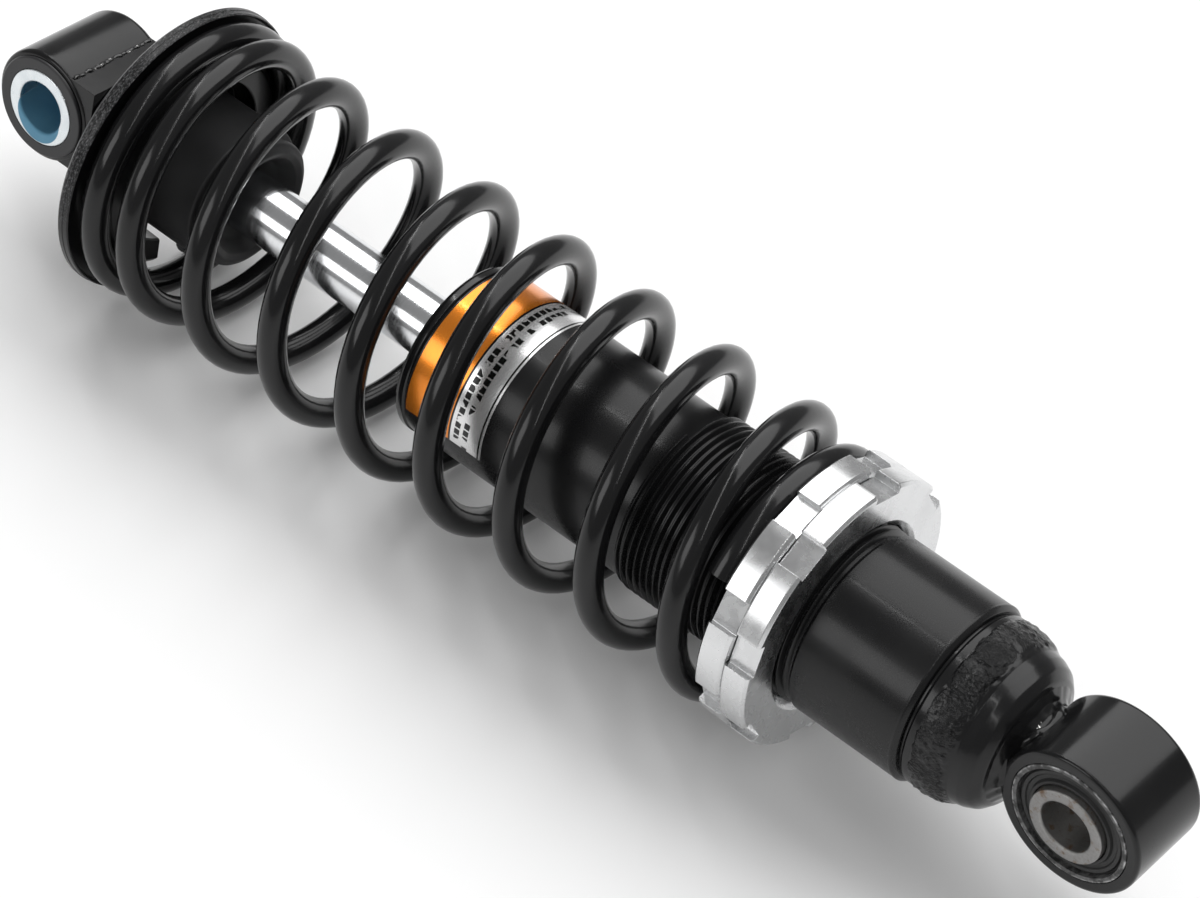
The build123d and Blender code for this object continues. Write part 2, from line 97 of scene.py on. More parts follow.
def pick(piece):
    """Select one piece and make it active."""
    start_clean()
    piece.select_set(True)
    bpy.context.view_layer.objects.active = piece


def rounded(points, radius):
    """A closed section with rounded corners. A corner given as (x, r, own) has its own radius."""
    out = []
    count = len(points)
    for i, corner in enumerate(points):
        own = corner[2] if len(corner) > 2 else radius
        here = Vector(corner[:2])
        before = Vector(points[i - 1][:2]) - here
        after = Vector(points[(i + 1) % count][:2]) - here
        angle = before.angle(after) if before.length and after.length else math.pi
        if own <= 0 or angle > math.radians(172) or (here.y < 1e-6):
            out.append((here.x, here.y))
            continue
        reach = min(own / math.tan(angle / 2), before.length * 0.48, after.length * 0.48)
        start = here + before.normalized() * reach
        end = here + after.normalized() * reach
        steps = 4 if angle < math.radians(125) else 2
        for k in range(steps + 1):
            t = k / steps
            near = start.lerp(here, t)
            far = here.lerp(end, t)
            point = near.lerp(far, t)
            out.append((point.x, point.y))
    return out


def trace(name, points):
    """A line of edges through (x, z) points in millimetres, drawn by extruding one vertex."""
    start_clean()
    bpy.ops.mesh.primitive_plane_add(size=MM)
    piece = bpy.context.object
    piece.name = name
    piece.data.name = name
    bpy.ops.object.mode_set(mode="EDIT")
    bpy.ops.mesh.select_all(action="SELECT")
    bpy.ops.mesh.merge(type="CENTER")
    bpy.ops.transform.translate(value=(points[0][0] * MM, 0, points[0][1] * MM))
    for here, there in zip(points, points[1:]):
        step = ((there[0] - here[0]) * MM, 0, (there[1] - here[1]) * MM)
        bpy.ops.mesh.extrude_region_move(TRANSFORM_OT_translate={"value": step})
    return piece


def tidy_mesh():
    """Merge doubles and turn the faces outwards, then leave edit mode."""
    bpy.ops.mesh.select_all(action="SELECT")
    bpy.ops.mesh.remove_doubles(threshold=2e-6)
    bpy.ops.mesh.normals_make_consistent(inside=False)
    bpy.ops.object.mode_set(mode="OBJECT")


def smooth(piece, angle=32):
    """Smooth shading broken at sharp edges, with flats kept flat."""
    pick(piece)
    bpy.ops.object.shade_smooth_by_angle(angle=math.radians(angle))
    bpy.ops.object.modifier_add(type="WEIGHTED_NORMAL")
    piece.modifiers[-1].keep_sharp = True
    bpy.ops.object.modifier_apply(modifier=piece.modifiers[-1].name)


def turn_about_x(name, points, radius=0.3, steps=144, angle=2 * math.pi):
    """A turned piece about X from its half section, with flat ends if it isn't a full turn."""
    section = rounded(points, radius)
    piece = trace(name, section + section[:1])
    bpy.ops.mesh.select_all(action="SELECT")
    bpy.ops.mesh.spin(steps=steps, angle=angle, center=(0, 0, 0), axis=(1, 0, 0))
    if angle < 2 * math.pi:
        bpy.ops.mesh.select_all(action="SELECT")
        bpy.ops.mesh.remove_doubles(threshold=2e-6)
        bpy.ops.mesh.select_all(action="DESELECT")
        bpy.ops.mesh.select_non_manifold()
        bpy.ops.mesh.edge_face_add()
    tidy_mesh()
    smooth(piece)
    return piece


def turn_about_y(name, points, x, tilt=0.0, radius=0.3, steps=112):
    """A turned piece about a line along Y through x, from (y, radius) points, tilted about X."""
    piece = turn_about_x(name, points, radius, steps)
    upright = Matrix.Rotation(math.radians(tilt), 4, "X")
    across = Matrix.Rotation(math.pi / 2, 4, "Z")
    piece.data.transform(upright @ Matrix.Translation((x * MM, 0, 0)) @ across)
    return piece


def ring_section(x0, x1, inner, outer):
    """The half section of a plain ring."""
    return [(x0, inner), (x0, outer), (x1, outer), (x1, inner)]


def join(name, pieces):
    """Several pieces made one mesh."""
    start_clean()
    for piece in pieces:
        piece.select_set(True)
    bpy.context.view_layer.objects.active = pieces[0]
    bpy.ops.object.join()
    whole = bpy.context.object
    whole.name = name
    whole.data.name = name
    return whole


def cut(piece, cutters):
    """Cut the cutters' shapes out of a piece."""
    tool = join("cutter", cutters) if len(cutters) > 1 else cutters[0]
    pick(piece)
    bpy.ops.object.modifier_add(type="BOOLEAN")
    change = piece.modifiers[-1]
    change.operation = "DIFFERENCE"
    change.solver = "EXACT"
    change.object = tool
    bpy.ops.object.modifier_apply(modifier=change.name)
    bpy.data.objects.remove(tool, do_unlink=True)
    return piece


def bevel_edges(piece, width, segments=2, angle=40):
    """Round the edges sharper than angle."""
    pick(piece)
    bpy.ops.object.modifier_add(type="BEVEL")
    change = piece.modifiers[-1]
    change.width = width * MM
    change.segments = segments
    change.limit_method = "ANGLE"
    change.angle_limit = math.radians(angle)
    bpy.ops.object.modifier_apply(modifier=change.name)


def block(name, low, high):
    """A box between two corners in millimetres, for cutting with or as a start."""
    start_clean()
    centre = [(a + b) / 2 * MM for a, b in zip(low, high)]
    size = [(b - a) * MM for a, b in zip(low, high)]
    bpy.ops.mesh.primitive_cube_add(size=1, location=centre)
    piece = bpy.context.object
    piece.name = name
    bpy.ops.object.mode_set(mode="EDIT")
    bpy.ops.mesh.select_all(action="SELECT")
    bpy.ops.transform.resize(value=size, center_override=centre)
    bpy.ops.object.mode_set(mode="OBJECT")
    bpy.ops.object.transform_apply(location=True, rotation=True, scale=True)
    return piece


def wire(name, points, radius, closed=False, sides=6, caps=True):
    """A round wire through points in millimetres, made a mesh."""
    start_clean()
    bpy.ops.curve.primitive_bezier_curve_add()
    path = bpy.context.object
    path.name = name
    path.data.name = name
    path.data.splines.clear()
    spline = path.data.splines.new("POLY")
    spline.points.add(len(points) - 1)
    for point, place in zip(spline.points, points):
        point.co = (place[0] * MM, place[1] * MM, place[2] * MM, 1)
    spline.use_cyclic_u = closed
    path.data.dimensions = "3D"
    path.data.bevel_depth = radius * MM
    path.data.bevel_resolution = sides
    path.data.use_fill_caps = caps
    pick(path)
    bpy.ops.object.convert(target="MESH")
    piece = bpy.context.object
    bpy.ops.object.mode_set(mode="EDIT")
    tidy_mesh()
    return piece


def roughen(piece, amount, size, where=None, seed=0.0):
    """Push vertices along their normals by smooth noise. where gives a place's share, 0 to 1."""
    mesh = piece.data
    normals = [v.normal.copy() for v in mesh.vertices]
    for vertex, normal in zip(mesh.vertices, normals):
        place = vertex.co / MM
        share = 1.0 if where is None else where(place)
        if share:
            lift = noise.noise(place / size + Vector((seed, seed, seed)))
            vertex.co += normal * lift * amount * share * MM
    mesh.update()


def settle(piece, body, material, slot, *nodes):
    """Give a finished piece its material and its body, and hide the nodes it stands for. The slot is
    not used.
    """
    piece.data.materials.clear()
    piece.data.materials.append(material)
    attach(piece, body)
    if nodes:
        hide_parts(*nodes)
    return piece


# ---------------------------------------------------------------- finishes

class Finish:
    """A procedural material under construction, read in Object coordinates."""

    def __init__(self, name, **sockets):
        self.material = bpy.data.materials.new(name)
        self.material.use_nodes = True
        self.tree = self.material.node_tree
        self.shader = self.tree.nodes["Principled BSDF"]
        self.place = self.tree.nodes.new("ShaderNodeTexCoord").outputs["Object"]
        for key, value in sockets.items():
            self.shader.inputs[key.replace("_", " ")].default_value = value

    def link(self, source, target):
        self.tree.links.new(source, target)

    def node(self, kind, **settings):
        made = self.tree.nodes.new("ShaderNode" + kind)
        for key, value in settings.items():
            setattr(made, key, value)
        return made

    def math(self, operation, a, b=0.0, clamp=False):
        made = self.node("Math", operation=operation, use_clamp=clamp)
        for socket, value in zip(made.inputs, (a, b)):
            if isinstance(value, (int, float)):
                socket.default_value = value
            else:
                self.link(value, socket)
        return made.outputs[0]

    def stretched(self, scale):
        made = self.node("Mapping")
        made.inputs["Scale"].default_value = scale
        self.link(self.place, made.inputs["Vector"])
        return made.outputs[0]

    def noise(self, size, detail=3.0, vector=None, rough=0.5):
        """Noise whose features are about size millimetres."""
        made = self.node("TexNoise")
        made.inputs["Scale"].default_value = 1 / (size * MM)
        made.inputs["Detail"].default_value = detail
        made.inputs["Roughness"].default_value = rough
        self.link(vector if vector is not None else self.place, made.inputs["Vector"])
        return made.outputs["Fac"]

    def cells(self, size, vector=None, feature="F1"):
        made = self.node("TexVoronoi", feature=feature)
        made.inputs["Scale"].default_value = 1 / (size * MM)
        self.link(vector if vector is not None else self.place, made.inputs["Vector"])
        return made.outputs["Distance"]

    def bands(self, source, low, high, to_low=0.0, to_high=1.0):
        made = self.node("MapRange")
        made.clamp = True
        made.inputs["From Min"].default_value = low
        made.inputs["From Max"].default_value = high
        made.inputs["To Min"].default_value = to_low
        made.inputs["To Max"].default_value = to_high
        self.link(source, made.inputs["Value"])
        return made.outputs["Result"]

    def mix(self, share, a, b):
        """Blend two colours, each a tuple or a socket."""
        made = self.node("Mix", data_type="RGBA")
        self.link(share, made.inputs["Factor"])
        for socket, value in ((made.inputs[6], a), (made.inputs[7], b)):
            if isinstance(value, (tuple, list)):
                socket.default_value = (*value, 1.0)
            else:
                self.link(value, socket)
        return made.outputs[2]

    def split(self):
        made = self.node("SeparateXYZ")
        self.link(self.place, made.inputs[0])
        return made.outputs

    def reach(self, centre_x=None):
        """Distance from the X axis in metres, or from the line along Y through centre_x."""
        x, y, z = self.split()
        if centre_x is None:
            flat = self.math("POWER", y, 2)
        else:
            flat = self.math("POWER", self.math("SUBTRACT", x, centre_x), 2)
        return self.math("SQRT", self.math("ADD", flat, self.math("POWER", z, 2)))

    def colour(self, source):
        self.link(source, self.shader.inputs["Base Color"])

    def roughness(self, source):
        self.link(source, self.shader.inputs["Roughness"])

    def bump(self, height, depth, strength=1.0, below=None):
        """Relief of depth millimetres."""
        made = self.node("Bump")
        made.inputs["Strength"].default_value = strength
        made.inputs["Distance"].default_value = depth * MM
        self.link(height, made.inputs["Height"])
        if below is not None:
            self.link(below, made.inputs["Normal"])
        self.link(made.outputs[0], self.shader.inputs["Normal"])
        return made.outputs[0]


FINISHES = {}


def painted(name, colour, rough, peel=1.2, peel_depth=0.02, coat=0.3):
    """Black paint or powder coat with a fine orange peel and a few dull patches."""
    f = Finish(name, Coat_Weight=coat, Coat_Roughness=0.08, Specular_IOR_Level=0.27)
    cloud = f.noise(14, 3)
    fine = f.noise(0.35, 2)
    f.colour(f.mix(cloud, colour, tuple(c * 1.7 + 0.002 for c in colour)))
    mottled = f.math("ADD", cloud, f.math("MULTIPLY", fine, 0.5))
    f.roughness(f.bands(mottled, 0.4, 1.1, rough - 0.06, rough + 0.09))
    f.bump(f.math("ADD", f.noise(peel, 2), f.math("MULTIPLY", fine, 0.25)), peel_depth, 0.7)
    FINISHES[name] = f.material
    return f


def metal(name, colour, rough, grain=0.5, depth=0.01, variation=0.15):
    """Bare or plated metal with a fine grain."""
    f = Finish(name, Metallic=1.0)
    cloud = f.noise(6, 4)
    fine = f.noise(grain, 3)
    darker = tuple(c * (1 - variation) for c in colour)
    f.colour(f.mix(cloud, colour, darker))
    f.roughness(f.bands(f.math("ADD", cloud, fine), 0.5, 1.5, rough - 0.08, rough + 0.1))
    f.bump(fine, depth, 0.5)
    FINISHES[name] = f.material
    return f


def elastomer(name, colour, rough, grain=0.25):
    """Moulded rubber or plastic, matt with a fine grain."""
    f = Finish(name, Specular_IOR_Level=0.4)
    cloud = f.noise(5, 4)
    fine = f.noise(grain, 2)
    f.colour(f.mix(cloud, colour, tuple(c * 1.9 + 0.003 for c in colour)))
    f.roughness(f.bands(cloud, 0.3, 0.7, rough - 0.07, rough + 0.07))
    f.bump(fine, 0.02, 0.6)
    FINISHES[name] = f.material
    return f


def make_finishes(look):
    """Every finish on the shock, made once."""
    black = tuple(look.paint)
    painted("tube_black", black, 0.27, 1.6, 0.008, 0.05)
    painted("cap_black", black, 0.18, 2.5, 0.006, 0.3)
    painted("spring_black", black, 0.17, 1.4, 0.004, 0.15)

    # Cast and welded ends: thicker powder coat.
    painted("eye_black", tuple(c * 0.8 for c in black), 0.2, 2.2, 0.012, 0.12)

    # Weld band of the domed end: a hammered, scaly ring.
    f = painted("dome_black", black, 0.2, 1.8, 0.02, 0.12)
    drift = f.math("MULTIPLY", f.math("SUBTRACT", f.noise(5, 3), 0.5), 0.004)
    wobble = f.math("ADD", f.split()[0], drift)
    band = f.math("MULTIPLY", f.bands(wobble, -0.0331, -0.0327), f.bands(wobble, -0.0252, -0.0262))
    patch = f.bands(f.noise(9, 2), 0.44, 0.56, 0.12, 1.0)
    scale = f.math("ADD", f.cells(0.8, f.stretched((0.6, 1, 1))), f.noise(0.45, 3))
    rough = f.math("MULTIPLY", f.math("MULTIPLY", scale, band), patch)
    f.bump(f.math("ADD", rough, f.math("MULTIPLY", f.noise(1.6, 2), 0.03)), 0.9, 1.0)

    metal("weld_bright", (0.75, 0.74, 0.72), 0.3, 0.4, 0.03)

    # Welds, partly bare of paint.
    f = Finish("weld_black", Coat_Weight=0.3)
    chips = f.bands(f.noise(0.9, 4, rough=0.7), 0.60, 0.64)
    f.colour(f.mix(chips, black, (0.75, 0.74, 0.72)))
    f.link(chips, f.shader.inputs["Metallic"])
    f.roughness(f.bands(chips, 0, 1, 0.24, 0.3))
    f.bump(f.noise(0.8, 3), 0.15, 0.8)
    FINISHES["weld_black"] = f.material

    # Spring retainer: rim scuffed through its coat.
    f = painted("retainer_black", tuple(c * 1.3 for c in black), 0.36, 1.0, 0.02, 0.1)
    reach = f.reach()
    rim = f.math("MULTIPLY", f.bands(reach, 0.0336, 0.0341), f.bands(f.split()[2], 0.0, 0.012))
    scratch = f.bands(f.noise(0.7, 5, f.stretched((2.5, 1, 1)), 0.75), 0.50, 0.62)
    worn = f.math("MULTIPLY", rim, scratch)
    f.colour(f.mix(worn, tuple(c * 1.3 for c in black), (0.17, 0.17, 0.175)))
    f.roughness(f.bands(worn, 0, 1, 0.3, 0.6))
    f.bump(f.math("MULTIPLY", worn, f.noise(0.5, 4)), 0.25, 0.8)

    # Adjuster rings: turned faces, milled notches.
    f = Finish("ring_aluminium", Metallic=1.0)
    along = f.math("ADD", f.reach(), f.split()[0])
    lines = f.math("SINE", f.math("MULTIPLY", along, 2 * math.pi / 0.00028))
    uneven = f.noise(2.5, 2)
    cloud = f.noise(9, 2)
    f.colour(f.mix(cloud, tuple(look.aluminium), tuple(c * 0.86 for c in look.aluminium)))
    f.roughness(f.bands(f.math("ADD", cloud, uneven), 0.6, 1.4, 0.2, 0.33))
    f.bump(lines, 0.0016, 0.4)
    FINISHES["ring_aluminium"] = f.material

    # Hard chrome with the faint marks that grinding leaves round the rod.
    f = Finish("rod_chrome", Metallic=1.0)
    rings = f.noise(0.22, 2, f.stretched((1, 0.05, 0.05)))
    cloud = f.noise(9, 2)
    f.colour(f.mix(cloud, (0.80, 0.81, 0.82), (0.70, 0.71, 0.73)))
    f.roughness(f.bands(rings, 0.3, 0.7, 0.11, 0.2))
    f.bump(rings, 0.002, 0.4)
    FINISHES["rod_chrome"] = f.material

    # Zinc plate on the rod eye's sleeve: bright outside, blue in its bore.
    f = Finish("zinc_plate", Metallic=1.0)
    inside = f.bands(f.reach(ROD_EYE_X * MM), 0.00632, 0.00622)
    cloud = f.noise(3, 4)
    bright = f.mix(cloud, (0.80, 0.83, 0.84), (0.64, 0.69, 0.72))
    blue = f.mix(f.noise(5, 2), (0.085, 0.24, 0.37), (0.12, 0.29, 0.40))
    f.colour(f.mix(inside, bright, blue))
    f.link(f.bands(inside, 0, 1, 1.0, 0.45), f.shader.inputs["Metallic"])
    plating = f.bands(cloud, 0.3, 0.7, 0.22, 0.34)
    f.roughness(f.math("ADD", plating, f.math("MULTIPLY", inside, 0.2)))
    f.bump(f.noise(0.4, 3), 0.012, 0.6)
    FINISHES["zinc_plate"] = f.material

    # Dull sleeve of the body eye, with brown bloom.
    f = Finish("sleeve_steel", Metallic=0.9)
    bloom = f.bands(f.noise(2.2, 5, rough=0.65), 0.54, 0.68)
    plain = f.mix(f.noise(0.6, 4), (0.36, 0.355, 0.35), (0.22, 0.215, 0.21))
    f.colour(f.mix(bloom, plain, (0.19, 0.13, 0.09)))
    f.roughness(f.bands(bloom, 0, 1, 0.42, 0.62))
    f.bump(f.noise(0.5, 4), 0.03, 0.7)
    FINISHES["sleeve_steel"] = f.material

    # Edge of the bush's outer shell: paint over steel, worn bright in places.
    f = Finish("shell_edge")
    edge = f.bands(f.reach(0.0), 0.01375, 0.0141)
    flakes = f.bands(f.noise(1.6, 4, rough=0.6), 0.42, 0.62)
    bare = f.math("MULTIPLY", flakes, f.bands(edge, 0, 1, 0.25, 1.0))
    f.colour(f.mix(bare, (0.025, 0.025, 0.025), (0.5, 0.5, 0.5)))
    f.link(f.math("MULTIPLY", bare, 0.9), f.shader.inputs["Metallic"])
    f.roughness(f.bands(bare, 0, 1, 0.5, 0.35))
    f.bump(f.noise(0.6, 3), 0.02, 0.6)
    FINISHES["shell_edge"] = f.material

    elastomer("bush_rubber", (0.014, 0.014, 0.014), 0.5)
    elastomer("bump_black", (0.007, 0.007, 0.0075), 0.55, 0.4)
    elastomer("seal_black", (0.012, 0.012, 0.013), 0.42)
    elastomer("bush_plastic", (0.012, 0.012, 0.013), 0.34)
    elastomer("band_plastic", (0.05, 0.052, 0.05), 0.5)
    metal("dark_steel", (0.33, 0.33, 0.335), 0.36, 0.6, 0.02, 0.35)
    metal("plain_steel", (0.50, 0.50, 0.51), 0.32)
    metal("spring_strip", (0.45, 0.46, 0.48), 0.28)
    metal("turned_aluminium", (0.74, 0.75, 0.76), 0.3)
    metal("bronze", (0.55, 0.38, 0.19), 0.35)
    metal("sintered_iron", (0.24, 0.24, 0.25), 0.5, 0.3, 0.03)

    # Printed film: orange band, silver band with rows of plain bars, and a light grey line at its far
    # edge that is a painted highlight on the clear film's edge.
    f = Finish("label_film", Coat_Weight=0.3, Coat_Roughness=0.1, Roughness=0.24, Metallic=0.75)
    x, y, z = f.split()
    low, high = span("label_wrap")
    along = f.bands(x, low * MM, high * MM)
    ramp = f.node("ValToRGB")
    ramp.color_ramp.interpolation = "CONSTANT"
    # The last stop, light grey, is a painted highlight along the clear film's far edge.
    print_and_highlight_stops = ((0.0, (0.02, 0.02, 0.02)), (0.015, (0.90, 0.27, 0.02)), (0.575, (0.01, 0.01, 0.01)),
             (0.60, (0.85, 0.85, 0.85)), (0.955, (0.02, 0.02, 0.02)), (0.975, (0.80, 0.80, 0.80)))
    ramp.color_ramp.elements[0].color = (*print_and_highlight_stops[0][1], 1)
    ramp.color_ramp.elements[1].position = print_and_highlight_stops[1][0]
    ramp.color_ramp.elements[1].color = (*print_and_highlight_stops[1][1], 1)
    for position, tint in print_and_highlight_stops[2:]:
        ramp.color_ramp.elements.new(position).color = (*tint, 1)
    f.link(along, ramp.inputs["Fac"])
    round_angle = f.math("ARCTAN2", z, y)
    bars = f.node("TexBrick")
    bars.inputs["Scale"].default_value = 1.0
    bars.inputs["Color1"].default_value = (1, 1, 1, 1)
    bars.inputs["Color2"].default_value = (1, 1, 1, 1)
    bars.inputs["Mortar"].default_value = (0, 0, 0, 1)
    bars.inputs["Mortar Size"].default_value = 0.06
    bars.inputs["Brick Width"].default_value = 0.55
    bars.inputs["Row Height"].default_value = 0.30
    spot = f.node("CombineXYZ")
    f.link(f.math("MULTIPLY", round_angle, 6.0), spot.inputs[0])
    f.link(f.math("MULTIPLY", f.math("SUBTRACT", along, 0.625), 2.75), spot.inputs[1])
    f.link(spot.outputs[0], bars.inputs["Vector"])
    past_orange = f.math("GREATER_THAN", along, 0.635)
    on_silver = f.math("MULTIPLY", past_orange, f.math("LESS_THAN", along, 0.83))
    broken = f.math("GREATER_THAN", f.noise(2.6, 0), 0.44)
    printed = f.math("MULTIPLY", f.math("MULTIPLY", bars.outputs["Color"], on_silver), broken)
    f.colour(f.mix(printed, ramp.outputs["Color"], (0.02, 0.02, 0.02)))
    f.bump(f.noise(3, 2), 0.02, 0.4)
    FINISHES["label_film"] = f.material


HIDDEN_FINISHES = {
    "rod_guide": "turned_aluminium", "guide_bushing": "bronze", "oil_seal": "seal_black",
    "guide_o_ring": "seal_black", "guide_circlip": "spring_strip", "topout_bumper": "bump_black",
    "backing_washer": "plain_steel", "compression_shims": "spring_strip", "piston": "sintered_iron",
    "piston_band": "band_plastic", "rebound_shims": "spring_strip", "clamp_washer": "plain_steel",
    "piston_nut": "plain_steel", "floating_piston": "turned_aluminium",
    "floating_piston_o_ring": "seal_black",
}


# ---------------------------------------------------------------- sizes and colours

class ShockSizes(bpy.types.PropertyGroup):
    """Sizes a maker would change, in the scene's units."""
    wire_radius: bpy.props.FloatProperty(
        name="Wire radius", description="Radius of the spring wire", default=0.00325, unit="LENGTH")
    coil_radius: bpy.props.FloatProperty(
        name="Coil radius", description="Radius of the wire's centre line",
        default=0.03025, unit="LENGTH")
    coil_pitch: bpy.props.FloatProperty(
        name="Coil pitch", description="Spacing of the open coils", default=0.0223, unit="LENGTH")
    tip_angle: bpy.props.FloatProperty(
        name="Tip angle", description="Where the spring starts at the rod end, about X from +Y",
        default=math.radians(342), subtype="ANGLE")
    thread_pitch: bpy.props.FloatProperty(
        name="Thread pitch", description="Pitch of the adjuster's thread",
        default=0.00175, unit="LENGTH")
    thread_start: bpy.props.FloatProperty(
        name="Thread start", description="Place along X of the thread's upper end",
        default=-0.112, unit="LENGTH")
    thread_end: bpy.props.FloatProperty(
        name="Thread end", description="Place along X of the thread's lower end",
        default=-0.0647, unit="LENGTH")
    tube_radius: bpy.props.FloatProperty(
        name="Tube radius", description="Radius of the tube above the thread",
        default=0.020, unit="LENGTH")
    lower_radius: bpy.props.FloatProperty(
        name="Lower radius", description="Radius of the tube below the thread",
        default=0.0211, unit="LENGTH")
    label_turn: bpy.props.FloatProperty(
        name="Label turn", description="How far the label goes round the tube",
        default=math.radians(222), subtype="ANGLE")
    label_end: bpy.props.FloatProperty(
        name="Label end", description="Where the label ends, about X from +Y",
        default=math.radians(184), subtype="ANGLE")
    notches: bpy.props.IntProperty(
        name="Notches", description="Notches in each ring nut", default=8)
    notch_width: bpy.props.FloatProperty(
        name="Notch width", description="Width of a notch", default=0.008, unit="LENGTH")
    notch_depth: bpy.props.FloatProperty(
        name="Notch depth", description="Depth of a notch", default=0.0022, unit="LENGTH")
    rod_turn: bpy.props.FloatProperty(
        name="Rod eye turn", description="How far the rod eye is turned about X",
        default=math.radians(-10), subtype="ANGLE")


class ShockLook(bpy.types.PropertyGroup):
    """Colours of the main finishes."""
    paint: bpy.props.FloatVectorProperty(
        name="Paint", description="Black of the painted parts", size=3, subtype="COLOR",
        default=(0.0045, 0.0045, 0.0048), min=0, max=1)
    aluminium: bpy.props.FloatVectorProperty(
        name="Aluminium", description="Colour of the ring nuts", size=3, subtype="COLOR",
        default=(0.74, 0.745, 0.75), min=0, max=1)
    floor: bpy.props.FloatVectorProperty(
        name="Floor", description="Colour of the floor", size=3, subtype="COLOR",
        default=(0.93, 0.93, 0.93), min=0, max=1)


# ---------------------------------------------------------------- operators

class SHOCK_OT_finishes(bpy.types.Operator):
    """Make every finish, and give the hidden nodes theirs"""
    bl_idname = "shock.finishes"
    bl_label = "Finishes"

    def execute(self, context):
        make_finishes(context.scene.shock_look)
        for node, finish in HIDDEN_FINISHES.items():
            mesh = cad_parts[node].data
            mesh.materials.clear()
            mesh.materials.append(FINISHES[finish])
        return {"FINISHED"}


class SHOCK_OT_tube(bpy.types.Operator):
    """Damper tube with its helical thread, top cap, wiper and label"""
    bl_idname = "shock.tube"
    bl_label = "Damper tube"

    def execute(self, context):
        sizes = context.scene.shock_sizes
        x0, x1 = span("damper_tube")
        crest = outer_radius("damper_tube")
        pitch = sizes.thread_pitch / MM
        start, end = sizes.thread_start / MM, sizes.thread_end / MM
        upper = sizes.tube_radius / MM
        lower = sizes.lower_radius / MM
        bore = outer_radius("rod_guide")
        tube = turn_about_x("tube_walls", [
            (x0, bore), (x0, upper, 0.15), (end + 0.6, upper - 0.02, 0.3), (end + 1.4, lower, 0.4),
            (x1 - 1.6, lower, 0.5), (x1 - 1.0, lower + 0.12, 0.8), (x1, lower - 0.8, 0.5),
            (x1, bore)], 0.0, 160)

        root = upper - 0.3
        ridge = trace("thread", [
            (start, root), (start + 0.40 * pitch, crest - 0.10), (start + 0.47 * pitch, crest),
            (start + 0.58 * pitch, crest), (start + 0.65 * pitch, crest - 0.10),
            (start + pitch, root), (start, root)])
        bpy.ops.mesh.select_all(action="SELECT")
        bpy.ops.mesh.remove_doubles(threshold=2e-6)
        bpy.ops.object.mode_set(mode="OBJECT")
        turns = (end - start) / pitch - 0.6
        pick(ridge)
        bpy.ops.object.modifier_add(type="SCREW")
        screw = ridge.modifiers[-1]
        screw.axis = "X"
        screw.angle = 2 * math.pi * turns
        screw.screw_offset = sizes.thread_pitch * turns
        screw.steps = int(112 * turns)
        screw.render_steps = screw.steps
        screw.use_merge_vertices = False
        bpy.ops.object.modifier_apply(modifier=screw.name)
        low, high = start * MM, (start + pitch * (turns + 1)) * MM
        for vertex in ridge.data.vertices:
            reach = math.hypot(vertex.co.y, vertex.co.z) / MM
            from_end = min(vertex.co.x - low, high - vertex.co.x)
            fade = min(from_end / (pitch * 1.2 * MM), 1.0)
            goal = root + (reach - root) * max(fade, 0.0)
            vertex.co.y *= goal / reach
            vertex.co.z *= goal / reach
        bpy.ops.object.mode_set(mode="EDIT")
        bpy.ops.mesh.select_all(action="SELECT")
        bpy.ops.mesh.normals_make_consistent(inside=False)
        bpy.ops.object.mode_set(mode="OBJECT")
        smooth(ridge, 20)
        tube = join("tube_and_thread", [tube, ridge])
        settle(tube, "damper_body", FINISHES["tube_black"], "satin_black_tube", "damper_tube")

        low, high = span("tube_cap")
        rim = outer_radius("tube_cap")
        wiper = outer_radius("dust_wiper")
        cap = turn_about_x("cap", [
            (low, wiper, 0.3), (low, rim, 2.1), (x0 - 0.45, rim, 0.25), (x0, rim - 0.4, 0.2),
            (x0, bore), (high, bore), (high, 7.6), (x0 - 0.2, 7.6), (x0 - 0.2, wiper)], 0.1, 160)
        settle(cap, "damper_body", FINISHES["cap_black"], "gloss_black_cap", "tube_cap")

        rod = outer_radius("piston_rod")
        w0, w1 = span("dust_wiper")
        lip = turn_about_x("wiper", [
            (w0, rod + 0.05, 0.0), (w0 + 0.5, rod + 0.9, 0.25), (w0 + 1.1, wiper - 2.0, 0.5),
            (w0 + 1.0, wiper - 0.4, 0.3), (w0 + 1.5, wiper - 0.05, 0.2), (w1, wiper - 0.05),
            (w1, rod + 0.05)], 0.1, 96)
        settle(lip, "damper_body", FINISHES["seal_black"], "seal_rubber", "dust_wiper")

        l0, l1 = span("label_wrap")
        section = ring_section(l0, l1, upper, upper + 0.12)
        film = turn_about_x("label", section, 0.03, 96, sizes.label_turn)
        film.data.transform(Matrix.Rotation(sizes.label_end - math.pi / 2, 4, "X"))
        settle(film, "damper_body", FINISHES["label_film"], "label_film", "label_wrap")
        return {"FINISHED"}


